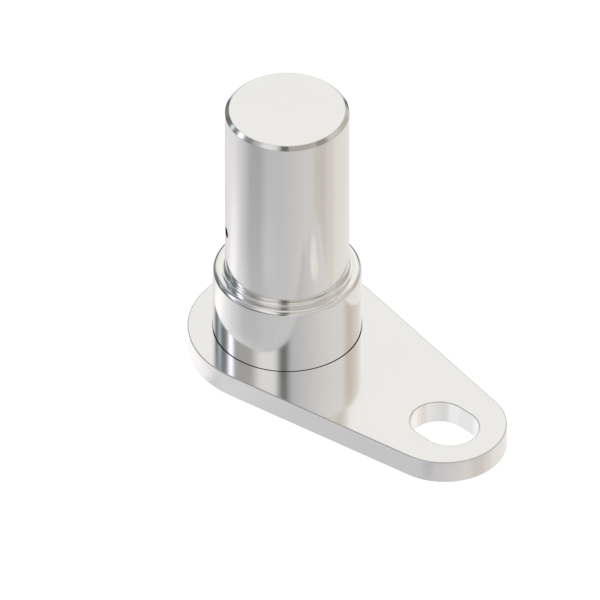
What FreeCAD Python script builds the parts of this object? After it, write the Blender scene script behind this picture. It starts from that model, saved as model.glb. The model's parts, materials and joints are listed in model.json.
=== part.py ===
import FreeCAD, Part
import math
import os

# Pivot pin with a flag plate: a stepped round pin stands through one end of a teardrop plate
# and is welded to it from the back. A slot in the plate's narrow end takes the screw that
# stops the pin from turning and from walking out of its bore.
# Millimetres. +Z runs along the pin to its free end, +Y from the pin to the slot.
# The origin is on the pin's axis, in the plate's back face.

# Pin
journal_diameter = 50.0
journal_length = 80.8
journal_chamfer = 1.5
shoulder_width = 4.85
collar_height = 30.2
collar_edge_round = 2.0

# Relief cut where the journal meets the shoulder, so that a sharp bush seats flat
relief_depth = 0.2
relief_face_depth = 0.1
relief_fillet = 1.2
relief_land = 0.65
relief_rise_angle = 15.0
relief_face_angle = 8.0

# Grease way: a tapped port in the back end, a blind drilling up the axis, one outlet
port_diameter = 9.0
port_depth = 12.0
port_chamfer = 0.7
gallery_diameter = 6.0
drill_point_angle = 118.0
outlet_diameter = 4.5
outlet_height = 22.0
outlet_angle = -122.0

# Flag plate
plate_thickness = 10.0
bore_clearance = 0.3
bore_rim = 9.85
slot_distance = 89.3
slot_width = 23.5
slot_length = 29.5
slot_rim = 13.25
edge_break = 0.35

# Weld in the V between the pin and the plate's bevelled bore, left just below the back face
root_face = 4.0
root_reach = 0.4
cap_setback = 0.6
cap_crown = 0.3

journal_radius = journal_diameter / 2
collar_radius = journal_radius + shoulder_width
shoulder_level = plate_thickness + collar_height
free_end_level = shoulder_level + journal_length
outlet_level = shoulder_level + outlet_height
bore_radius = collar_radius + bore_clearance
bevel_depth = plate_thickness - root_face

UP = FreeCAD.Vector(0, 0, 1)
ORIGIN = FreeCAD.Vector(0, 0, 0)


def at(radius, level):
    """A point of a turned profile, in the plane that holds the axis."""
    return FreeCAD.Vector(radius, 0, level)


def on_arc(centre, radius, degrees):
    """The point of an arc in the turned profile's plane."""
    turn = math.radians(degrees)
    return centre + at(radius * math.cos(turn), radius * math.sin(turn))


def line(start, end):
    return Part.LineSegment(start, end).toShape()


def arc(centre, radius, start_degrees, end_degrees):
    """A circular edge of the turned profile, between two angles from the radial direction."""
    middle = (start_degrees + end_degrees) / 2
    points = [on_arc(centre, radius, turn) for turn in (start_degrees, middle, end_degrees)]
    return Part.Arc(*points).toShape()


def turned(edges):
    """The solid that a closed half profile sweeps round the axis."""
    face = Part.Face(Part.Wire(edges))
    return face.revolve(ORIGIN, UP, 360)


def turned_pin():
    """The pin's outside: collar, shoulder, relief cut, journal and chamfered free end."""
    land_radius = journal_radius - relief_depth
    fillet_centre = at(land_radius + relief_fillet,
                       shoulder_level - relief_face_depth + relief_fillet)
    fillet_top = on_arc(fillet_centre, relief_fillet, 180)
    fillet_end_angle = 270 + relief_face_angle
    fillet_end = on_arc(fillet_centre, relief_fillet, fillet_end_angle)
    face_slope = math.tan(math.radians(relief_face_angle))
    relief_rim = at(fillet_end.x + (shoulder_level - fillet_end.z) / face_slope, shoulder_level)
    land_top = fillet_top + at(0, relief_land)
    rise = relief_depth / math.tan(math.radians(relief_rise_angle))
    journal_start = at(journal_radius, land_top.z + rise)

    round_centre = at(collar_radius - collar_edge_round, shoulder_level - collar_edge_round)
    round_start = on_arc(round_centre, collar_edge_round, 0)
    round_end = on_arc(round_centre, collar_edge_round, 90)

    chamfer_start = at(journal_radius, free_end_level - journal_chamfer)
    chamfer_end = at(journal_radius - journal_chamfer, free_end_level)
    back_edge = at(collar_radius, 0)
    free_end = at(0, free_end_level)
    return turned([
        line(ORIGIN, back_edge),
        line(back_edge, round_start),
        arc(round_centre, collar_edge_round, 0, 90),
        line(round_end, relief_rim),
        line(relief_rim, fillet_end),
        arc(fillet_centre, relief_fillet, fillet_end_angle, 180),
        line(fillet_top, land_top),
        line(land_top, journal_start),
        line(journal_start, chamfer_start),
        line(chamfer_start, chamfer_end),
        line(chamfer_end, free_end),
        line(free_end, ORIGIN),
    ])


def drilling(diameter, depth, start=0.0):
    """A blind drilling up the axis from the back end, with the drill's cone at its bottom."""
    point = diameter / 2 / math.tan(math.radians(drill_point_angle / 2))
    shank = Part.makeCylinder(diameter / 2, depth - start, at(0, start), UP)
    return shank.fuse(Part.makeCone(diameter / 2, 0, point, at(0, depth), UP))


def grease_way():
    """Everything that is drilled out of the pin for grease."""
    port = drilling(port_diameter, port_depth)
    mouth = Part.makeCone(port_diameter / 2 + port_chamfer, port_diameter / 2, port_chamfer)
    gallery = drilling(gallery_diameter, outlet_level + outlet_diameter / 2)
    heading = math.radians(90 + outlet_angle)
    outwards = FreeCAD.Vector(math.cos(heading), math.sin(heading), 0)
    outlet = Part.makeCylinder(outlet_diameter / 2, collar_radius, at(0, outlet_level), outwards)
    return port.multiFuse([mouth, gallery, outlet])


def pin():
    return turned_pin().cut(grease_way())


def flat_edge(start, end):
    return line(FreeCAD.Vector(*start, 0), FreeCAD.Vector(*end, 0))


def flat_arc(start, middle, end):
    return Part.Arc(*[FreeCAD.Vector(*p, 0) for p in (start, middle, end)]).toShape()


def hull_outline(near_radius, near_y, far_radius, far_y):
    """The outline round two circles on the Y axis: an arc at each end, joined by tangents."""
    lean = (near_radius - far_radius) / (far_y - near_y)
    reach = math.sqrt(1 - lean * lean)
    near = (near_radius * reach, near_y + near_radius * lean)
    far = (far_radius * reach, far_y + far_radius * lean)
    near_left = (-near[0], near[1])
    far_left = (-far[0], far[1])
    return Part.Wire([
        flat_arc(near_left, (0, near_y - near_radius), near),
        flat_edge(near, far),
        flat_arc(far, (0, far_y + far_radius), far_left),
        flat_edge(far_left, near_left),
    ])


def prism(outline):
    """The plate-thick solid with that outline."""
    return Part.Face(outline).extrude(UP * plate_thickness)


def flag_plate():
    """The plate: teardrop blank, slot, broken edges, and the bore with its weld bevel."""
    blank = prism(hull_outline(bore_radius + bore_rim, 0.0,
                               slot_width / 2 + slot_rim, slot_distance))
    half_straight = (slot_length - slot_width) / 2
    slot = prism(hull_outline(slot_width / 2, slot_distance - half_straight,
                              slot_width / 2, slot_distance + half_straight))
    plate = blank.cut(slot)
    rims = [edge for edge in plate.Edges if edge.BoundBox.ZLength < edge_break / 2]
    plate = plate.makeChamfer(edge_break, rims)
    bore = Part.makeCylinder(bore_radius, plate_thickness)
    bevel = Part.makeCone(bore_radius + bevel_depth, bore_radius, bevel_depth)
    return plate.cut(bore.fuse(bevel))


def weld():
    """The weld bead: it fills the V, reaches into the gap above it, and has a low crown."""
    gap_top = bevel_depth + root_reach
    toe = at(bore_radius + bevel_depth - cap_setback, cap_setback)
    inner_toe = at(collar_radius, cap_setback)
    crown_width = (toe.x - inner_toe.x) / 2
    crown_start = at(inner_toe.x + crown_width / 2, cap_setback - cap_crown)
    crown_end = at(toe.x - crown_width / 2, cap_setback - cap_crown)
    root_inside = at(collar_radius, gap_top)
    root_outside = at(bore_radius, gap_top)
    bevel_top = at(bore_radius, bevel_depth)
    return turned([
        line(inner_toe, crown_start),
        line(crown_start, crown_end),
        line(crown_end, toe),
        line(toe, bevel_top),
        line(bevel_top, root_outside),
        line(root_outside, root_inside),
        line(root_inside, inner_toe),
    ])


os.makedirs("parts", exist_ok=True)
for name, shape in (("pin", pin()), ("flag_plate", flag_plate()), ("weld", weld())):
    shape.exportStep("parts/" + name + ".step")
    print(name, "valid", shape.isValid(), "solids", len(shape.Solids), "volume", round(shape.Volume, 1))
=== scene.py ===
import json
import math

import bpy
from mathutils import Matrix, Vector
from mathutils.geometry import tessellate_polygon


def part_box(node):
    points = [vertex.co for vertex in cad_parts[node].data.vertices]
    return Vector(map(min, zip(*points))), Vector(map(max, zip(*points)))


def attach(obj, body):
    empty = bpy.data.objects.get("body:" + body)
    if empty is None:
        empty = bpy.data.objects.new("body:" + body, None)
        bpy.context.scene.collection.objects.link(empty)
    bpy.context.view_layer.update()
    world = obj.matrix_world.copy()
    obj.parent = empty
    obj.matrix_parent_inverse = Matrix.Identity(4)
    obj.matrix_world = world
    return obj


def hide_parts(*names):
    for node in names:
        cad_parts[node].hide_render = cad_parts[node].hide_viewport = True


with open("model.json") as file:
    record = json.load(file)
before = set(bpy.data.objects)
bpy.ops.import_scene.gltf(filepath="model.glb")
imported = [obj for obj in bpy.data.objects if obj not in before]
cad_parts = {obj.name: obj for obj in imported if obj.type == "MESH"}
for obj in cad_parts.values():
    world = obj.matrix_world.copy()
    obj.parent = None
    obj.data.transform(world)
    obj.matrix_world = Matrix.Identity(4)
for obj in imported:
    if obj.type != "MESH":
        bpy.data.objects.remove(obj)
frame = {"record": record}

# Metres, in the part's frame: +Z along the pin to its free end, +Y from the pin to the slot,
# origin on the pin's axis in the plate's back face.
MM = 0.001
SCENE = bpy.context.scene
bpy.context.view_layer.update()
MOUNTS = {mount["name"]: mount for mount in frame["record"]["mounts"]}

# The photograph's view: a parallel projection, looking down past the plate's narrow end
VIEW_HEADING = 45.0
VIEW_ELEVATION = 38.9
VIEW_WIDTH = 240.72 * MM
VIEW_DISTANCE = 0.8
VIEW_RIGHT_OF_AXIS = 5.14 * MM
VIEW_ABOVE_PLATE = 9.97 * MM

# Sizes that the frame gives
COLLAR_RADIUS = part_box("pin")[1].x
FREE_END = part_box("pin")[1].z
PLATE_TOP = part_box("flag_plate")[1].z
PLATE_HALF_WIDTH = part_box("flag_plate")[1].x
PLATE_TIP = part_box("flag_plate")[1].y
JOURNAL_RADIUS = MOUNTS["journal"]["dims"]["r_mm"] * MM
PORT_RADIUS = MOUNTS["grease_port"]["dims"]["r_mm"] * MM
SLOT_CENTRE = MOUNTS["flag_slot"]["pos_m"][1]
SLOT_RADIUS = MOUNTS["flag_slot"]["dims"]["hole_r_mm"] * MM
SLOT_LENGTH = MOUNTS["flag_slot"]["dims"]["slot_length_mm"] * MM

# The pin's own sizes
SHOULDER = PLATE_TOP + 30.2 * MM
COLLAR_ROUND = 2.0 * MM
JOURNAL_CHAMFER = 1.5 * MM
EDGE_ROUND = 0.2 * MM
RELIEF_DEPTH = 0.2 * MM
RELIEF_FACE_DEPTH = 0.1 * MM
RELIEF_FILLET = 1.2 * MM
RELIEF_LAND = 0.65 * MM
RELIEF_RISE_ANGLE = 15.0
RELIEF_FACE_ANGLE = 8.0
PORT_DEPTH = 12 * MM
PORT_CHAMFER = 0.7 * MM
THREAD_PITCH = 1.0 * MM
THREAD_DEPTH = 0.46 * MM
THREAD_RUN_OUT = 1.2 * MM
THREAD_FADE = 0.4 * THREAD_PITCH
GALLERY_RADIUS = 3 * MM
DRILL_HALF_ANGLE = 59.0
OUTLET_RADIUS = 2.25 * MM
OUTLET_LEVEL = SHOULDER + 22 * MM
OUTLET_HEADING = -32.0

# The plate's and the weld's own sizes
PLATE_TIP_RADIUS = 25 * MM
PLATE_EDGE_ROUND = 0.3 * MM
BORE_RADIUS = COLLAR_RADIUS + 0.3 * MM
BEVEL_DEPTH = PLATE_TOP - 4 * MM
WELD_ROOT = BEVEL_DEPTH + 0.4 * MM
WELD_SETBACK = 0.6 * MM
WELD_CROWN = 0.3 * MM
WELD_RIPPLES = 96
RIPPLE_HEIGHT = 0.14 * MM
RIPPLE_BOW = 0.9
RIPPLE_DRIFT = 1.6
RIPPLE_DRIFT_SCALE = 6.0
RIPPLE_SHARPNESS = 1.6
WELD_SEED = 3.7

# The width of the strip beside an edge over which the painted edge shade fades out
EDGE_SHADE_WIDTH = 0.25 * MM

# How finely the meshes are cut: steps round an axis, rows along it, degrees of an arc
TURNING_STEPS = 256
WELD_STEPS = 768
OUTLET_STEPS = 64
THREAD_ROWS_PER_PITCH = 8
CROWN_ROWS = 20
ARC_STEP = 7.5
OUTLINE_STEP = 2.0
SLOT_STEP = 3.0
SEAM_REACH = 0.0002 * MM


class Number:
    """A number inside a node tree. Python's operators on it add the tree's Math nodes."""

    def __init__(self, nodes, socket):
        self.nodes = nodes
        self.socket = socket

    def __add__(self, other):
        return self.nodes.maths("ADD", self, other)

    def __radd__(self, other):
        return self.nodes.maths("ADD", other, self)

    def __sub__(self, other):
        return self.nodes.maths("SUBTRACT", self, other)

    def __rsub__(self, other):
        return self.nodes.maths("SUBTRACT", other, self)

    def __mul__(self, other):
        return self.nodes.maths("MULTIPLY", self, other)

    def __truediv__(self, other):
        return self.nodes.maths("DIVIDE", self, other)

    def __mod__(self, other):
        return self.nodes.maths("FLOORED_MODULO", self, other)

    def __abs__(self):
        return self.nodes.maths("ABSOLUTE", self)


class Nodes:
    """A node tree, with one method that makes any node in it and short words for sums."""

    def __init__(self, tree):
        self.tree = tree
        tree.nodes.clear()

    def make(self, kind, settings=(), sockets=()):
        """A node of that kind: its settings first, then the values or links of its sockets."""
        node = self.tree.nodes.new(kind)
        for name, value in dict(settings).items():
            setattr(node, name, value)
        for name, value in dict(sockets).items():
            self.feed(node.inputs[name], value)
        return node

    def feed(self, socket, value):
        if isinstance(value, Number):
            value = value.socket
        if isinstance(value, bpy.types.Node):
            value = value.outputs[0]
        if isinstance(value, bpy.types.NodeSocket):
            self.tree.links.new(value, socket)
        else:
            socket.default_value = value

    def number(self, node, output=0):
        return Number(self, node.outputs[output])

    def maths(self, operation, *operands):
        sockets = dict(enumerate(operands))
        return self.number(self.make("ShaderNodeMath", {"operation": operation}, sockets))

    def cosine(self, angle):
        return self.maths("COSINE", angle)

    def sine(self, angle):
        return self.maths("SINE", angle)

    def step(self, value, start, end):
        """0 up to start, 1 from end on, and smooth between."""
        settings = {"interpolation_type": "SMOOTHSTEP"}
        sockets = {"Value": value, "From Min": start, "From Max": end}
        return self.number(self.make("ShaderNodeMapRange", settings, sockets))

    def fade(self, value, start, end):
        """1 up to start, 0 from end on, and smooth between."""
        return 1 - self.step(value, start, end)

    def vector(self, x, y, z):
        return self.make("ShaderNodeCombineXYZ", (), {0: x, 1: y, 2: z})

    def coordinates(self, place):
        parts = self.make("ShaderNodeSeparateXYZ", (), {0: place})
        return [self.number(parts, axis) for axis in range(3)]

    def measure(self, operation, *operands):
        """The number that a Vector Math node gives, such as a length or a distance."""
        node = self.make("ShaderNodeVectorMath", {"operation": operation}, enumerate(operands))
        return self.number(node, "Value")

    def blend(self, share, first, second):
        """A colour between two others: all of the first where share is 0."""
        sockets = {"Factor": share, 6: first, 7: second}
        return self.make("ShaderNodeMix", {"data_type": "RGBA"}, sockets).outputs[2]


def new_tree(name, inputs):
    """A geometry tree that takes a mesh and the named inputs, and its group input node."""
    tree = bpy.data.node_groups.new(name, "GeometryNodeTree")
    tree.interface.new_socket("Geometry", in_out="INPUT", socket_type="NodeSocketGeometry")
    for label, kind in inputs:
        tree.interface.new_socket(label, in_out="INPUT", socket_type="NodeSocket" + kind)
    tree.interface.new_socket("Geometry", in_out="OUTPUT", socket_type="NodeSocketGeometry")
    nodes = Nodes(tree)
    return nodes, nodes.make("NodeGroupInput")


def close_tree(nodes, geometry, material):
    """The end of every geometry tree: real meshes in their material."""
    real = nodes.make("GeometryNodeRealizeInstances", (), {0: geometry})
    smooth = nodes.make("GeometryNodeSetShadeSmooth", (), {0: real})
    painted = nodes.make("GeometryNodeSetMaterial", (), {0: smooth, "Material": material})
    nodes.make("NodeGroupOutput", (), {0: painted})


def grown(name, seed_mesh, nodes, values):
    """A new object whose plain mesh is what the geometry tree makes of the seed mesh."""
    raw = bpy.data.objects.new(name + "_seed", seed_mesh)
    SCENE.collection.objects.link(raw)
    modifier = raw.modifiers.new("grow", "NODES")
    modifier.node_group = nodes.tree
    labels = {item.name: item.identifier for item in nodes.tree.interface.items_tree
              if item.in_out == "INPUT"}
    for label, value in values.items():
        modifier[labels[label]] = value
    graph = bpy.context.evaluated_depsgraph_get()
    mesh = bpy.data.meshes.new_from_object(raw.evaluated_get(graph), depsgraph=graph)
    mesh.name = name
    raw.modifiers.remove(modifier)
    bpy.data.objects.remove(raw)
    piece = bpy.data.objects.new(name, mesh)
    SCENE.collection.objects.link(piece)
    return piece


def set_true_normals(mesh):
    """Shades the mesh by the normals of the form it stands for, where its tree gave them."""
    stored = mesh.attributes["true_normal"]
    normals = [0.0] * (3 * len(mesh.loops))
    stored.data.foreach_get("vector", normals)
    mesh.attributes.remove(stored)
    mesh.normals_split_custom_set(list(zip(normals[0::3], normals[1::3], normals[2::3])))


def straight(start, end, rows=1):
    """Part of a half profile: points (radius, level, slope of the metal's outward normal)."""
    slope = math.atan2(start[0] - end[0], end[1] - start[1])
    shares = [row / rows for row in range(rows + 1)]
    return [(start[0] + (end[0] - start[0]) * share, start[1] + (end[1] - start[1]) * share, slope)
            for share in shares]


def curved(centre, radius, start_angle, end_angle):
    """A round or, where the angle falls, a fillet of the half profile."""
    rows = max(4, round(abs(end_angle - start_angle) / ARC_STEP))
    inward = math.pi if end_angle < start_angle else 0.0
    points = []
    for row in range(rows + 1):
        angle = math.radians(start_angle + (end_angle - start_angle) * row / rows)
        points.append((centre[0] + radius * math.cos(angle),
                       centre[1] + radius * math.sin(angle), angle + inward))
    return points


def softened(corner, radius, before, after):
    """A small round on a corner of the half profile, between two outward slopes in degrees."""
    half = math.radians((after - before) / 2)
    middle = math.radians((before + after) / 2)
    reach = radius / math.cos(half)
    centre = (corner[0] - reach * math.cos(middle), corner[1] - reach * math.sin(middle))
    return curved(centre, radius, before, after)


def seed_profile(name, runs, cuts, edges=()):
    """The half profile as a mesh of points that carry its slopes, depths of cut and edge shade.

    Edges are runs painted darker, as shade along the edge: a run, with how dark it is at its
    start and at its end."""
    points = [point for run in runs for point in run]
    mesh = bpy.data.meshes.new(name)
    mesh.from_pydata([(radius, 0.0, level) for radius, level, slope in points], [], [])
    edge_shade_values = []
    for run in runs:
        wear = [ends for edge, *ends in edges if edge is run] or [(0.0, 0.0)]
        start, end = wear[0]
        edge_shade_values += [start + (end - start) * row / (len(run) - 1) for row in range(len(run))]
    for label, values in (("slope", [slope for radius, level, slope in points]),
                          ("cut", cuts), ("edge", edge_shade_values)):
        mesh.attributes.new(label, "FLOAT", "POINT").data.foreach_set("value", values)
    return mesh, len(points)


def screw_thread(nodes, given, radius, level, turn, depth):
    """Teeth that advance one pitch a turn, as a lead screw cuts them."""
    lead = level / nodes.number(given, "Thread pitch") + turn / (2 * math.pi)
    tooth = 1 - abs((lead % 1.0) * 2 - 1)
    return radius + depth * tooth, level


def weld_ripples(nodes, given, radius, level, turn, depth):
    """Ripples across the bead, bowed back at its middle as the metal froze behind the arc."""
    middle = nodes.number(given, "Bead radius")
    bow = (radius - middle) / nodes.number(given, "Bead half width")
    round_bead = nodes.vector(nodes.cosine(turn), nodes.sine(turn), nodes.number(given, "Seed"))
    drift = nodes.make("ShaderNodeTexNoise", (), {
        "Vector": round_bead, "Scale": RIPPLE_DRIFT_SCALE, "Detail": 2.0})
    beat = turn * nodes.number(given, "Ripples") / (2 * math.pi)
    beat = beat + bow * bow * RIPPLE_BOW + nodes.number(drift) * RIPPLE_DRIFT
    ripple = nodes.maths("POWER", abs((beat % 1.0) * 2 - 1), RIPPLE_SHARPNESS)
    return radius, level + depth * (1 - ripple)


def lathe(nodes, given, count, shape_cut):
    """Turns the half profile round Z, with the given cut where the profile asks for one."""
    steps = nodes.number(given, "Steps")
    across = steps + 1.0
    grid = nodes.make("GeometryNodeMeshGrid", (), {
        "Size X": 1.0, "Size Y": 1.0, "Vertices X": count, "Vertices Y": across})
    index = nodes.number(nodes.make("GeometryNodeInputIndex"))
    row = nodes.maths("FLOOR", (index + 0.5) / across)
    turn = (index % across) * (2 * math.pi) / steps

    def of_profile(kind, value):
        sockets = {"Geometry": given.outputs["Geometry"], "Value": value, "Index": row}
        return nodes.make("GeometryNodeSampleIndex", {"data_type": kind, "clamp": True}, sockets)

    def named(name):
        label = nodes.make("GeometryNodeInputNamedAttribute", {"data_type": "FLOAT"}, {0: name})
        return nodes.number(of_profile("FLOAT", label))

    place = of_profile("FLOAT_VECTOR", nodes.make("GeometryNodeInputPosition"))
    radius, level = nodes.coordinates(place)[::2]
    slope = named("slope")
    depth = named("cut")
    radius, level = shape_cut(nodes, given, radius, level, turn, depth)
    placed = nodes.make("GeometryNodeSetPosition", (), {0: grid, "Position": nodes.vector(
        radius * nodes.cosine(turn), radius * nodes.sine(turn), level)})
    plain = 1 - nodes.maths("GREATER_THAN", depth, 0.0)
    normal = nodes.vector(nodes.cosine(slope) * nodes.cosine(turn) * plain,
                          nodes.cosine(slope) * nodes.sine(turn) * plain,
                          nodes.sine(slope) * plain)
    outwards = nodes.make("GeometryNodeFlipFaces", (), {0: placed})
    marked = store(nodes, outwards, "FLOAT_VECTOR", "POINT", "point_normal", normal)
    # The edge value is painted shade: it darkens the metal along the pin's edges
    marked = store(nodes, marked, "FLOAT", "POINT", "point_edge", named("edge"))
    return close_seams(nodes, marked)


def store(nodes, geometry, kind, domain, name, value):
    settings = {"data_type": kind, "domain": domain}
    return nodes.make("GeometryNodeStoreNamedAttribute", settings,
                      {0: geometry, "Name": name, "Value": value})


def close_seams(nodes, geometry):
    """Keeps each row's own normal and painted edge shade at the faces' corners, then closes seam
    and poles.
    """
    for kind, name, kept in (("FLOAT_VECTOR", "point_normal", "true_normal"),
                             ("FLOAT", "point_edge", "edge_wear")):
        value = nodes.make("GeometryNodeInputNamedAttribute", {"data_type": kind}, {0: name})
        geometry = store(nodes, geometry, kind, "CORNER", kept, value)
        geometry = nodes.make("GeometryNodeRemoveAttribute", (), {0: geometry, "Name": name})
    return nodes.make("GeometryNodeMergeByDistance", (), {0: geometry, "Distance": SEAM_REACH})


def thread_cut(level):
    """How deep the port's thread is cut there. It fades out at the mouth and at the run-out."""
    inside = min(level - PORT_CHAMFER, PORT_DEPTH - THREAD_RUN_OUT - level)
    return THREAD_DEPTH * min(1.0, max(0.0, inside / THREAD_FADE))


def pin_profile():
    """The pin's half profile, from the top of the grease drilling round to the free end."""
    cone = 1 / math.tan(math.radians(DRILL_HALF_ANGLE))
    gallery_end = OUTLET_LEVEL + OUTLET_RADIUS
    drill_tip = gallery_end + GALLERY_RADIUS * cone
    port_floor = PORT_DEPTH + (PORT_RADIUS - GALLERY_RADIUS) * cone
    port_mouth = PORT_RADIUS + PORT_CHAMFER
    thread_rows = round((PORT_DEPTH - PORT_CHAMFER) / THREAD_PITCH * THREAD_ROWS_PER_PITCH)
    thread = straight((PORT_RADIUS, PORT_DEPTH), (PORT_RADIUS, PORT_CHAMFER), thread_rows)

    land = JOURNAL_RADIUS - RELIEF_DEPTH
    fillet_centre = (land + RELIEF_FILLET, SHOULDER - RELIEF_FACE_DEPTH + RELIEF_FILLET)
    fillet = curved(fillet_centre, RELIEF_FILLET, 270 + RELIEF_FACE_ANGLE, 180)
    fall = math.tan(math.radians(RELIEF_FACE_ANGLE))
    relief_rim = (fillet[0][0] + (SHOULDER - fillet[0][1]) / fall, SHOULDER)
    land_top = (land, fillet[-1][1] + RELIEF_LAND)
    rise = RELIEF_DEPTH / math.tan(math.radians(RELIEF_RISE_ANGLE))
    journal_start = (JOURNAL_RADIUS, land_top[1] + rise)

    collar_centre = (COLLAR_RADIUS - COLLAR_ROUND, SHOULDER - COLLAR_ROUND)
    collar_round = curved(collar_centre, COLLAR_ROUND, 0, 90)
    back_round = softened((COLLAR_RADIUS, 0.0), EDGE_ROUND, -90, 0)
    lower_edge = softened((JOURNAL_RADIUS, FREE_END - JOURNAL_CHAMFER), EDGE_ROUND, 0, 45)
    upper_edge = softened((JOURNAL_RADIUS - JOURNAL_CHAMFER, FREE_END), EDGE_ROUND, 45, 90)
    # A strip of the top face over which the painted edge shade fades out
    top_rim = straight(upper_edge[-1], (upper_edge[-1][0] - EDGE_SHADE_WIDTH, FREE_END))
    runs = [
        straight((0.0, drill_tip), (GALLERY_RADIUS, gallery_end)),
        straight((GALLERY_RADIUS, gallery_end), (GALLERY_RADIUS, port_floor), rows=12),
        straight((GALLERY_RADIUS, port_floor), (PORT_RADIUS, PORT_DEPTH)),
        thread,
        straight((PORT_RADIUS, PORT_CHAMFER), (port_mouth, 0.0)),
        straight((port_mouth, 0.0), back_round[0]),
        back_round,
        straight(back_round[-1], collar_round[0], rows=8),
        collar_round,
        straight(collar_round[-1], relief_rim),
        straight(relief_rim, fillet[0]),
        fillet,
        straight(fillet[-1], land_top),
        straight(land_top, journal_start),
        straight(journal_start, lower_edge[0], rows=16),
        lower_edge,
        straight(lower_edge[-1], upper_edge[0]),
        upper_edge,
        top_rim,
        straight(top_rim[-1], (0.0, FREE_END)),
    ]
    cuts = [thread_cut(level) if run is thread else 0.0
            for run in runs for radius, level, slope in run]
    # Runs painted darker as shade along the edges, with how dark at their start and at their end
    edges = [(back_round, 1.0, 1.0), (lower_edge, 1.0, 1.0), (upper_edge, 1.0, 1.0),
             (top_rim, 1.0, 0.0)]
    return runs, cuts, edges


def turned_pin(material):
    """The pin: turned, its port screw-cut, and its grease outlet drilled across."""
    runs, cuts, edges = pin_profile()
    seed, count = seed_profile("pin_profile", runs, cuts, edges)
    nodes, given = new_tree("turned_pin", [
        ("Steps", "Int"), ("Thread pitch", "Float"), ("Outlet radius", "Float"),
        ("Outlet reach", "Float"), ("Outlet level", "Float"), ("Outlet heading", "Float"),
        ("Material", "Material")])
    turned = lathe(nodes, given, count, screw_thread)
    reach = nodes.number(given, "Outlet reach")
    drill = nodes.make("GeometryNodeMeshCylinder", (), {
        "Vertices": OUTLET_STEPS, "Side Segments": 1, "Radius": given.outputs["Outlet radius"],
        "Depth": reach})
    x, y = nodes.coordinates(nodes.make("GeometryNodeInputPosition"))[:2]
    inwards = nodes.vector(0 - x, 0 - y, 0.0)
    inwards = nodes.make("ShaderNodeVectorMath", {"operation": "NORMALIZE"}, {0: inwards})
    heading = nodes.number(given, "Outlet heading")
    tilt = nodes.vector(0.0, math.radians(90), heading)
    inwards = nodes.make("ShaderNodeVectorRotate", {"rotation_type": "EULER_XYZ"},
                         {"Vector": inwards, "Rotation": tilt})
    drill = store(nodes, drill.outputs["Mesh"], "FLOAT_VECTOR", "CORNER", "true_normal", inwards)
    middle = nodes.vector(reach * 0.5 * nodes.cosine(heading), reach * 0.5 * nodes.sine(heading),
                          given.outputs["Outlet level"])
    drill = nodes.make("GeometryNodeTransform", (), {
        "Geometry": drill, "Translation": middle, "Rotation": tilt})
    drilled = nodes.make("GeometryNodeMeshBoolean", {"operation": "DIFFERENCE", "solver": "EXACT"},
                         {"Mesh 1": turned, "Mesh 2": drill})
    close_tree(nodes, drilled, given.outputs["Material"])
    pin = grown("turned_pin", seed, nodes, {
        "Steps": TURNING_STEPS, "Thread pitch": THREAD_PITCH, "Outlet radius": OUTLET_RADIUS,
        "Outlet reach": COLLAR_RADIUS, "Outlet level": OUTLET_LEVEL,
        "Outlet heading": math.radians(OUTLET_HEADING), "Material": material})
    set_true_normals(pin.data)
    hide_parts("pin")
    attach(pin, "root")


def rippled_weld(material):
    """The weld bead: it fills the bevel's V and ends in a low rippled crown on the back."""
    half_width = (BORE_RADIUS + BEVEL_DEPTH - WELD_SETBACK - COLLAR_RADIUS) / 2
    middle = COLLAR_RADIUS + half_width
    shares = [row / CROWN_ROWS * 2 - 1 for row in range(CROWN_ROWS + 1)]
    crown = [(middle + half_width * share, WELD_SETBACK - WELD_CROWN * (1 - share * share),
              -math.pi / 2) for share in shares]
    runs = [
        crown,
        straight(crown[-1], (BORE_RADIUS, BEVEL_DEPTH), rows=6),
        straight((BORE_RADIUS, BEVEL_DEPTH), (BORE_RADIUS, WELD_ROOT)),
        straight((BORE_RADIUS, WELD_ROOT), (COLLAR_RADIUS, WELD_ROOT)),
        straight((COLLAR_RADIUS, WELD_ROOT), crown[0], rows=6),
    ]
    cuts = [RIPPLE_HEIGHT * math.sqrt(1 - share * share) for share in shares]
    cuts += [0.0] * (sum(len(run) for run in runs) - len(cuts))
    seed, count = seed_profile("weld_profile", runs, cuts)
    nodes, given = new_tree("rippled_weld", [
        ("Steps", "Int"), ("Ripples", "Float"), ("Bead radius", "Float"),
        ("Bead half width", "Float"), ("Seed", "Float"), ("Material", "Material")])
    close_tree(nodes, lathe(nodes, given, count, weld_ripples), given.outputs["Material"])
    weld = grown("rippled_weld", seed, nodes, {
        "Steps": WELD_STEPS, "Ripples": float(WELD_RIPPLES), "Bead radius": middle,
        "Bead half width": half_width, "Seed": WELD_SEED, "Material": material})
    set_true_normals(weld.data)
    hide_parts("weld")
    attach(weld, "root")


def hull_outline(near_radius, near_y, far_radius, far_y, step):
    """Points and outward directions of the outline round two circles on the Y axis."""
    lean = math.degrees(math.asin((near_radius - far_radius) / (far_y - near_y)))
    outline = []
    for radius, centre, start, end in ((far_radius, far_y, lean, 180 - lean),
                                       (near_radius, near_y, 180 - lean, 360 + lean)):
        count = round((end - start) / step)
        for number in range(count + 1):
            angle = math.radians(start + (end - start) * number / count)
            facing = Vector((math.cos(angle), math.sin(angle), 0))
            outline.append((Vector((0, centre, 0)) + facing * radius, facing))
    return outline


def leaning(facing, slope):
    """A level direction tilted up by the slope."""
    return facing * math.cos(slope) + Vector((0, 0, math.sin(slope)))


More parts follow.
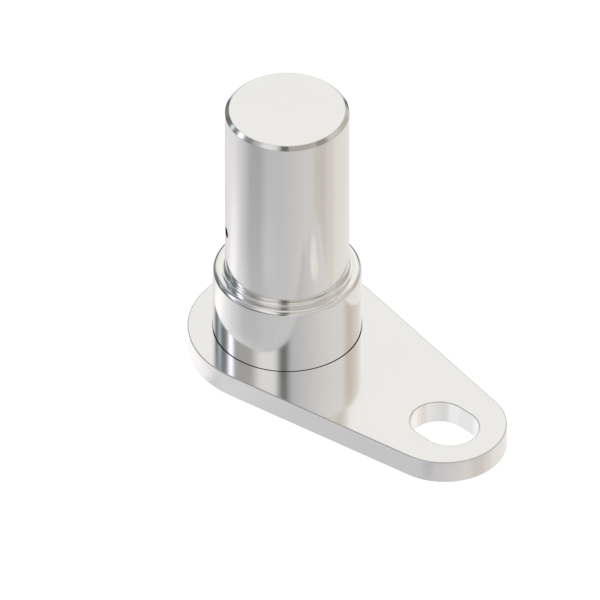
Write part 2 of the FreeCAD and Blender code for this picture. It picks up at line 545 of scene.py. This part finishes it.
class Shell:
    """A mesh in the making, with the true normal and the painted edge shade of each face's
    corners.
    """

    def __init__(self):
        self.points = []
        self.faces = []
        self.normals = []
        self.wear = []

    def ring(self, outline, offset, level):
        """Adds one loop of points round an outline, moved outwards by the offset."""
        first = len(self.points)
        for place, facing in outline:
            moved = place + facing * offset
            self.points.append((moved.x, moved.y, level))
        return list(range(first, len(self.points)))

    def wall(self, outline, section):
        """The band that a section sweeps round an outline.

        The section's rows are (offset, level, slope of the outward normal, painted edge shade)."""
        rings = []
        for number, (offset, level, slope, wear) in enumerate(section):
            same = number > 0 and section[number - 1][:2] == (offset, level)
            rings.append(rings[-1] if same else self.ring(outline, offset, level))
        count = len(outline)
        for low, high, lower, upper in zip(section, section[1:], rings, rings[1:]):
            if low[:2] == high[:2]:
                continue
            for here in range(count):
                there = (here + 1) % count
                self.faces.append((lower[here], lower[there], upper[there], upper[here]))
                corners = ((here, low), (there, low), (there, high), (here, high))
                self.normals += [leaning(outline[spot][1], row[2]) for spot, row in corners]
                self.wear += [row[3] for spot, row in corners]
        return rings[0], rings[-1]

    def flat(self, rings, upwards):
        """The flat face between an outer ring and the rings of its holes."""
        loops = [[Vector(self.points[index]) for index in ring] for ring in rings]
        indices = [index for ring in rings for index in ring]
        for corners in tessellate_polygon(loops):
            face = [indices[corner] for corner in corners]
            a, b, c = (Vector(self.points[index]) for index in face)
            if ((b - a).cross(c - a).z > 0) != upwards:
                face.reverse()
            self.faces.append(tuple(face))
            self.normals += [Vector((0, 0, 1 if upwards else -1))] * 3
            self.wear += [0.0] * 3

    def build(self, name, material):
        mesh = bpy.data.meshes.new(name)
        mesh.from_pydata(self.points, [], self.faces)
        mesh.materials.append(material)
        mesh.polygons.foreach_set("use_smooth", [True] * len(self.faces))
        mesh.normals_split_custom_set(self.normals)
        # Painted shade along the edges, which darkens the metal there
        mesh.attributes.new("edge_wear", "FLOAT", "CORNER").data.foreach_set("value", self.wear)
        piece = bpy.data.objects.new(name, mesh)
        SCENE.collection.objects.link(piece)
        return piece


def wall_section(radius_of_round):
    """A plate wall's section from the back face to the front face, with both edges rounded."""
    # The last number of a row is painted edge shade: full on the rounds, none a strip's width onto
    # the faces and on the wall between the rounds
    lower = [(*row, 1.0) for row in softened((0.0, 0.0), radius_of_round, -90, 0)]
    upper = [(*row, 1.0) for row in softened((0.0, PLATE_TOP), radius_of_round, 0, 90)]
    inset = radius_of_round + EDGE_SHADE_WIDTH
    start = (-inset, 0.0, -math.pi / 2, 0.0)
    end = (-inset, PLATE_TOP, math.pi / 2, 0.0)
    return [start] + lower + [(*lower[-1][:3], 0.0), (*upper[0][:3], 0.0)] + upper + [end]


def ground_plate(material):
    """The flag plate: teardrop outline, slot and bevelled bore, with fine rounded edges."""
    shell = Shell()
    outline = hull_outline(PLATE_HALF_WIDTH, 0.0, PLATE_TIP_RADIUS, PLATE_TIP - PLATE_TIP_RADIUS,
                           OUTLINE_STEP)
    reach = SLOT_LENGTH / 2 - SLOT_RADIUS
    slot = hull_outline(SLOT_RADIUS, SLOT_CENTRE - reach, SLOT_RADIUS, SLOT_CENTRE + reach,
                        SLOT_STEP)
    slot = [(place, -facing) for place, facing in reversed(slot)]
    around = [math.radians(360 * number / TURNING_STEPS) for number in range(TURNING_STEPS)]
    rays = [Vector((math.cos(angle), -math.sin(angle), 0)) for angle in around]
    bore = [(ray * BORE_RADIUS, -ray) for ray in rays]
    bevel_slope = -math.pi / 4
    bore_section = [(-BEVEL_DEPTH, 0.0, bevel_slope, 0.0), (0.0, BEVEL_DEPTH, bevel_slope, 0.0),
                    (0.0, BEVEL_DEPTH, 0.0, 0.0), (0.0, PLATE_TOP, 0.0, 0.0)]
    outer_rings = shell.wall(outline, wall_section(PLATE_EDGE_ROUND))
    slot_rings = shell.wall(slot, wall_section(PLATE_EDGE_ROUND))
    bore_rings = shell.wall(bore, bore_section)
    shell.flat([rings[1] for rings in (outer_rings, slot_rings, bore_rings)], True)
    shell.flat([rings[0] for rings in (outer_rings, slot_rings, bore_rings)], False)
    plate = shell.build("ground_flag_plate", material)
    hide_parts("flag_plate")
    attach(plate, "root")


def aim_camera():
    """The camera at the photograph's angle, held where its frame sits on the object."""
    turn = math.radians(VIEW_HEADING)
    rise = math.radians(VIEW_ELEVATION)
    level = Vector((math.cos(turn), math.sin(turn), 0))
    towards_viewer = level * math.cos(rise) + Vector((0, 0, math.sin(rise)))
    right = Vector((-level.y, level.x, 0))
    above = towards_viewer.cross(right)
    aim = Vector((0, 0, PLATE_TOP)) + right * VIEW_RIGHT_OF_AXIS + above * VIEW_ABOVE_PLATE
    data = bpy.data.cameras.new("camera")
    data.type = "ORTHO"
    data.ortho_scale = VIEW_WIDTH
    camera = bpy.data.objects.new("camera", data)
    SCENE.collection.objects.link(camera)
    camera.location = aim + towards_viewer * VIEW_DISTANCE
    camera.rotation_euler = towards_viewer.to_track_quat("Z", "Y").to_euler()
    SCENE.camera = camera


# The studio that the steel mirrors. Headings are in degrees to the right of the camera's own,
# so 180 is behind the object and 0 is behind the camera. Each layer is painted over those
# before it: a name, a colour or a list of layers, and where it lies, by angle. Two angles are
# where the layer starts and where it is full. Three are its centre, the half width that is
# full and the width of its soft edges. A share below 1 lets the layers underneath show through.
# Slanted is a heading that leans with height. Off_level, off_horizon and off_front count from
# the view's elevation, the horizon and the camera's heading, to either side.
RIGHT_DIMMED = [
    ("dimmed right", (0.66, 0.64, 0.595, 1.0), {}),
    ("dimmed far right", (0.52, 0.505, 0.46, 1.0), {"heading": (98.0, 116.0)}),
]
WALL_LAYERS = [
    ("bluish front", (0.412, 0.457, 0.524, 1.0), {}),
    ("right", (0.95, 0.926, 0.912, 1.0), {"heading": (-45.0, 85.0)}),
    ("far right", (0.86, 0.82, 0.77, 1.0), {"heading": (90.0, 120.0)}),
    ("behind on the right", (1.05, 1.04, 0.985, 1.0), {"heading": (130.0, 172.0)}),
    ("right, off the view's level", RIGHT_DIMMED,
     {"off_level": (1.5, 6.0), "heading": (150.0, 126.0)}),
    ("left", (0.47, 0.465, 0.455, 1.0), {"heading": (2.0, -6.0)}),
    ("behind on the left", (0.915, 0.915, 0.915, 1.0), {"heading": (-140.0, -160.0)}),
    ("front light", (0.97, 0.96, 0.95, 1.0), {"slanted": (-32.0, 8.0, 22.0)}),
    ("dark panel", (0.19, 0.20, 0.21, 1.0), {"slanted": (-130.0, 14.0, 13.0)}),
    ("white lamp", (1.50, 1.55, 1.80, 1.0), {"slanted": (-98.5, 2.0, 7.5)}),
    ("high on the left", (0.1, 0.1, 0.1, 1.0),
     {"share": 0.14, "elevation": (41.0, 47.0), "heading": (2.0, -8.0)}),
    ("seam", (0.18, 0.18, 0.18, 1.0), {"heading": (-5.5, 1.0, 12.0)}),
    ("seam, high up", (0.135, 0.135, 0.13, 1.0),
     {"elevation": (43.0, 48.0), "heading": (-3.5, 5.5, 6.0)}),
    ("warm panel", (0.74, 0.68, 0.58, 1.0),
     {"elevation": (18.0, 30.0), "slanted": (113.0, 4.0, 14.0)}),
    ("window", (0.47, 0.57, 0.64, 1.0),
     {"elevation": (VIEW_ELEVATION, 8.0, 8.0), "slanted": (-130.5, 2.0, 8.0)}),
    ("low on the left", (0.12, 0.12, 0.12, 1.0),
     {"share": 0.6, "elevation": (17.0, 8.0), "heading": (0.0, -24.0)}),
    ("small lamp", (0.83, 1.0, 0.98, 1.0),
     {"elevation": (19.0, 2.0, 6.0), "heading": (-112.8, 0.8, 5.0)}),
    ("horizon behind", (0.12, 0.12, 0.12, 1.0),
     {"off_horizon": (22.0, 10.0), "off_front": (135.0, 155.0)}),
    ("ceiling", (0.8, 0.79, 0.76, 1.0), {"elevation": (60.0, 75.0)}),
]
FLOOR_LAYERS = [
    ("left", (0.55, 0.547, 0.562, 1.0), {}),
    ("right", (0.84, 0.81, 0.76, 1.0), {"heading": (-60.0, 130.0)}),
    ("behind on the right", (0.86, 0.83, 0.81, 1.0), {"heading": (110.0, 170.0)}),
    ("behind on the left", (0.85, 0.835, 0.84, 1.0), {"heading": (-72.0, -122.0)}),
    ("straight behind", (0.73, 0.72, 0.72, 1.0), {"heading": (-142.0, -172.0)}),
    ("pale panel", (0.77, 0.76, 0.78, 1.0), {"heading": (-64.0, 14.0, 30.0)}),
    ("brown panel", (0.645, 0.605, 0.56, 1.0), {"heading": (66.0, 6.0, 20.0)}),
    ("warm strip", (0.76, 0.69, 0.62, 1.0), {"heading": (88.0, 2.0, 12.0)}),
]
FLOOR_MEETS_WALL = (-20.0, -12.0)
SLANT = 0.55

# Flags that stand in the studio: heading and elevation from the free end, half sizes, colour
FLAG_DISTANCE = 0.3
FLAGS = {
    "right_flag": (71.0, 39.0, 64 * MM, 30 * MM, (0.33, 0.31, 0.28, 1.0)),
    "front_flag": (34.5, 47.0, 118 * MM, 28 * MM, (0.46, 0.42, 0.38, 1.0)),
    "left_flag": (-74.5, 38.0, 32 * MM, 30 * MM, (0.26, 0.26, 0.26, 1.0)),
}

# How bright the floor glows near the object, and how much of its light dark cloth takes
GLOW_ALL_ROUND = 0.03
GLOW_LEFT = 0.09
GLOW_LAMP = 0.19
GLOW_BESIDE_PLATE = 0.05
GLOW_ROUND_END = 0.10
GLOW_IN_SLOT = 0.14
FAR_CLOTH = 0.41
CLOTH_BY_LONG_SIDE = 0.23


def band(nodes, angle, centre, half_width, soft):
    """1 within the half width of the centre, falling to 0 over the soft edge."""
    away = abs(nodes.maths("WRAP", angle - centre, 180.0, -180.0))
    return nodes.fade(away, half_width, half_width + soft)


def extent(nodes, angle, limits):
    """How much of a layer shows at an angle, by its two or three limits."""
    if len(limits) == 3:
        return band(nodes, angle, *limits)
    start, full = limits
    return nodes.step(angle, start, full) if start < full else nodes.fade(angle, full, start)


def painted(nodes, angles, layers):
    """The colour of layers painted one over another."""
    colour = None
    for label, paint, where in layers:
        if isinstance(paint, list):
            paint = painted(nodes, angles, paint)
        cover = where.get("share", 1.0)
        for name, angle in angles.items():
            if name in where:
                cover = extent(nodes, angle, where[name]) * cover
        colour = paint if colour is None else nodes.blend(cover, colour, paint)
    return colour


def heading_of(nodes, x, y):
    """Degrees to the right of the camera's heading."""
    turn = math.radians(VIEW_HEADING)
    ahead = x * math.cos(turn) + y * math.sin(turn)
    aside = y * math.cos(turn) - x * math.sin(turn)
    return nodes.maths("ARCTAN2", aside, ahead) * math.degrees(1)


def studio_light():
    """White light all round, but the walls and floor above in what the steel mirrors."""
    world = bpy.data.worlds.new("studio")
    SCENE.world = world
    world.use_nodes = True
    nodes = Nodes(world.node_tree)
    place = nodes.make("ShaderNodeTexCoord").outputs["Generated"]
    x, y, z = nodes.coordinates(place)
    heading = heading_of(nodes, x, y)
    elevation = nodes.maths("ARCSINE", z) * math.degrees(1)
    angles = {
        "heading": heading,
        "elevation": elevation,
        "slanted": heading + (elevation - VIEW_ELEVATION) * SLANT,
        "off_level": abs(elevation - VIEW_ELEVATION),
        "off_horizon": abs(elevation),
        "off_front": abs(heading),
    }
    mirrored = nodes.blend(nodes.step(elevation, *FLOOR_MEETS_WALL),
                           painted(nodes, angles, FLOOR_LAYERS),
                           painted(nodes, angles, WALL_LAYERS))
    path = nodes.make("ShaderNodeLightPath")
    colour = nodes.blend(path.outputs["Is Glossy Ray"], (1.0, 1.0, 1.0, 1.0), mirrored)
    light = nodes.make("ShaderNodeBackground", (), {"Color": colour, "Strength": 1.0})
    nodes.make("ShaderNodeOutputWorld", (), {"Surface": light})


def new_material(name):
    material = bpy.data.materials.new(name)
    material.use_nodes = True
    return material, Nodes(material.node_tree)


def stage_sheet(name, corners):
    """A flat sheet of the studio, and the empty node tree of its material."""
    mesh = bpy.data.meshes.new(name)
    mesh.from_pydata(corners, [], [(0, 1, 2, 3)])
    sheet = bpy.data.objects.new(name, mesh)
    SCENE.collection.objects.link(sheet)
    material, nodes = new_material(name)
    mesh.materials.append(material)
    return sheet, nodes


def level_square(half_size, level):
    """The corners of a level square round the axis, in order."""
    return [(x * half_size, y * half_size, level)
            for x, y in ((-1, -1), (1, -1), (1, 1), (-1, 1))]


def show_to_steel_alone(sheet):
    sheet.visible_camera = False
    sheet.visible_diffuse = False
    sheet.visible_shadow = False


def pale_floor():
    """A wide pale floor under the plate. It keeps out of the steel, which mirrors the studio."""
    floor, nodes = stage_sheet("floor", level_square(half_size=20.0, level=0.0))
    floor.visible_glossy = False
    soft = nodes.make("ShaderNodeBsdfDiffuse", (), {"Color": (0.12, 0.12, 0.12, 1.0)})
    glow = nodes.make("ShaderNodeEmission", (), {
        "Color": (0.93, 0.93, 0.93, 1.0), "Strength": 1.0})
    both = nodes.make("ShaderNodeAddShader", (), {0: soft, 1: glow})
    nodes.make("ShaderNodeOutputMaterial", (), {"Surface": both})


def floor_glow():
    """The light that the floor throws back near the object, and the cloth that lies on it."""
    glow, nodes = stage_sheet("floor_glow", level_square(half_size=0.4, level=-0.2 * MM))
    show_to_steel_alone(glow)
    place = nodes.make("ShaderNodeTexCoord").outputs["Object"]
    x, y = nodes.coordinates(place)[:2]
    heading = heading_of(nodes, x, y)
    away = nodes.measure("LENGTH", place)
    along = nodes.maths("MINIMUM", nodes.maths("MAXIMUM", y / SLOT_CENTRE, 0.0), 1.0)
    spine = nodes.vector(0.0, along * SLOT_CENTRE, 0.0)
    half_width = PLATE_HALF_WIDTH - along * (PLATE_HALF_WIDTH - PLATE_TIP + SLOT_CENTRE)
    from_plate = nodes.measure("DISTANCE", place, spine) - half_width
    from_slot = nodes.measure("DISTANCE", place, nodes.vector(0.0, SLOT_CENTRE, 0.0))
    in_slot = nodes.fade(from_slot, 14 * MM, 20 * MM)

    on_left = nodes.step(heading, -130.0, -112.0) * nodes.fade(heading, -40.0, 0.0)
    lamp = band(nodes, heading, -105.0, 4.0, 14.0)
    near = nodes.fade(away, 40 * MM, 170 * MM)
    strength = near * (on_left * GLOW_LEFT + lamp * GLOW_LAMP + GLOW_ALL_ROUND)
    strength = strength + nodes.fade(from_plate, 4 * MM, 22 * MM) * GLOW_BESIDE_PLATE
    round_end = nodes.fade(heading, -80.0, -50.0) * nodes.fade(from_plate, 3 * MM, 9 * MM)
    strength = strength + round_end * GLOW_ROUND_END + in_slot * GLOW_IN_SLOT

    # The far cloth lies off the plate and turns a little outwards with distance
    turned_out = heading + nodes.step(away, 55 * MM, 110 * MM) * 11.0
    far_cloth = band(nodes, turned_out, -46.0, 6.0, 30.0) * FAR_CLOTH
    facing = heading_of(nodes, x, y - along * SLOT_CENTRE)
    long_side = nodes.step(facing, -60.0, -50.0) * nodes.fade(facing, -22.0, -10.0)
    near_cloth = (1 - in_slot) * long_side * CLOTH_BY_LONG_SIDE
    off_plate = nodes.step(from_plate, 8 * MM, 18 * MM)
    cloth = off_plate * far_cloth + (1 - off_plate) * near_cloth

    light = nodes.make("ShaderNodeEmission", (), {"Strength": strength})
    clear = nodes.make("ShaderNodeBsdfTransparent", (), {"Color": 1 - cloth})
    both = nodes.make("ShaderNodeAddShader", (), {0: light, 1: clear})
    nodes.make("ShaderNodeOutputMaterial", (), {"Surface": both})


def dark_flag(name, heading, elevation, half_width, half_height, colour):
    """A small flag that keeps the light off the pin's chamfer. It faces the free end."""
    turn = math.radians(VIEW_HEADING + heading)
    rise = math.radians(elevation)
    level = Vector((math.cos(turn), math.sin(turn), 0))
    outwards = level * math.cos(rise) + Vector((0, 0, math.sin(rise)))
    aside = Vector((-level.y, level.x, 0))
    upwards = outwards.cross(aside)
    middle = Vector((0, 0, FREE_END)) + outwards * FLAG_DISTANCE
    corners = [middle + aside * (half_width * a) + upwards * (half_height * b)
               for a, b in ((-1, -1), (1, -1), (1, 1), (-1, 1))]
    flag, nodes = stage_sheet(name, corners)
    show_to_steel_alone(flag)
    dim = nodes.make("ShaderNodeEmission", (), {"Color": colour, "Strength": 1.0})
    nodes.make("ShaderNodeOutputMaterial", (), {"Surface": dim})


def fine_noise(nodes, vector, scale, detail=2.0, roughness=0.5):
    """Noise from about -1 to 1, even round 0."""
    texture = nodes.make("ShaderNodeTexNoise", (), {
        "Vector": vector, "Scale": scale, "Detail": detail, "Roughness": roughness})
    return nodes.number(texture) * 2 - 1


def mixed_noise(nodes, vector, fine, coarse):
    return fine_noise(nodes, vector, fine) * 0.6 + fine_noise(nodes, vector, coarse) * 0.4


# How far patches, tool marks and the edge mask change a metal's colour and roughness. Along
# the edges the colour is painted darker, as shade, and the roughness rises
PATCH_SHADE = 0.97
EDGE_SHADE_SHARE = 0.9
PATCH_ROUGHNESS = 0.012
MARK_ROUGHNESS = 0.015
WORN_ROUGHNESS = 0.16


def metal_surface(name, colour, edge_shade_colour, patch_scale, roughness, marks, mark_height,
                  tint=None):
    """A bare metal: patchy colour and polish, tool marks as bump, and edges painted darker as
    shade and made rougher.
    """
    material, nodes = new_material(name)
    place = nodes.make("ShaderNodeTexCoord").outputs["Object"]
    x, y, z = nodes.coordinates(place)
    mark = marks(nodes, x, y, z)
    patch = fine_noise(nodes, place, patch_scale)
    # Painted shade: the edge mask blends in the darker edge colour, and it also adds roughness
    wear = nodes.make("ShaderNodeAttribute", {"attribute_name": "edge_wear"})
    wear = nodes.number(wear, "Fac")
    patch_colour = [channel * PATCH_SHADE for channel in colour[:3]] + [1.0]
    shade = nodes.blend(0.5 + patch * 0.5, colour, patch_colour)
    shade = nodes.blend(wear * EDGE_SHADE_SHARE, shade, edge_shade_colour)
    if tint:
        share, tint_colour = tint(nodes, x, y, z)
        shade = nodes.blend(share, shade, tint_colour)
    rough = patch * PATCH_ROUGHNESS + mark * MARK_ROUGHNESS + wear * WORN_ROUGHNESS + roughness
    bump = nodes.make("ShaderNodeBump", (), {
        "Strength": 1.0, "Distance": mark_height, "Height": mark})
    metal = nodes.make("ShaderNodeBsdfPrincipled", (), {
        "Base Color": shade, "Metallic": 1.0, "Roughness": rough, "Normal": bump})
    nodes.make("ShaderNodeOutputMaterial", (), {"Surface": metal})
    return material


def round_the_axis(nodes, x, y):
    """The distance from the axis and the angle round it."""
    return nodes.maths("SQRT", x * x + y * y), nodes.maths("ARCTAN2", y, x)


def turning_marks(nodes, x, y, z):
    """Fine rings round the axis, as turning and polishing leave them."""
    radius, turn = round_the_axis(nodes, x, y)
    rings = nodes.vector(radius, z, turn * (2 * MM))
    return mixed_noise(nodes, rings, 2600.0, 500.0)


def grinding_marks(nodes, x, y, z):
    """Fine straight lines along the plate, as a belt leaves them."""
    lines = nodes.vector(x, y * 0.02, z)
    return mixed_noise(nodes, lines, 2200.0, 420.0)


def brushed_marks(nodes, x, y, z):
    """Short scratches of a wire brush round the bead."""
    radius, turn = round_the_axis(nodes, x, y)
    scratches = nodes.vector(radius, z, turn * (6 * MM))
    return fine_noise(nodes, scratches, 1500.0, detail=4.0, roughness=0.6)


def straw_tint(nodes, x, y, z):
    """The faint straw ring that the weld's heat leaves on the back."""
    radius = round_the_axis(nodes, x, y)[0]
    away = abs(radius - (BORE_RADIUS + BEVEL_DEPTH))
    share = nodes.fade(away, 0.4 * MM, 3.2 * MM) * nodes.fade(z, 0.2 * MM, 1.0 * MM) * 0.5
    return share, (0.72, 0.58, 0.38, 1.0)


SCENE.view_settings.view_transform = "Standard"
aim_camera()
studio_light()
pale_floor()
floor_glow()
for flag_name, flag_place in FLAGS.items():
    dark_flag(flag_name, *flag_place)

bright_steel = (0.86, 0.855, 0.845, 1.0)
# The darker steel that is painted along the edges as shade
edge_shade_steel = (0.60, 0.60, 0.60, 1.0)
turned_pin(metal_surface("polished_steel", bright_steel, edge_shade_steel, patch_scale=40.0,
                         roughness=0.12, marks=turning_marks, mark_height=0.0004 * MM))
ground_plate(metal_surface("ground_plate", bright_steel, edge_shade_steel, patch_scale=30.0,
                           roughness=0.12, marks=grinding_marks, mark_height=0.0004 * MM,
                           tint=straw_tint))
rippled_weld(metal_surface("weld_metal", (0.64, 0.62, 0.59, 1.0), edge_shade_steel, patch_scale=90.0,
                           roughness=0.30, marks=brushed_marks, mark_height=0.01 * MM))
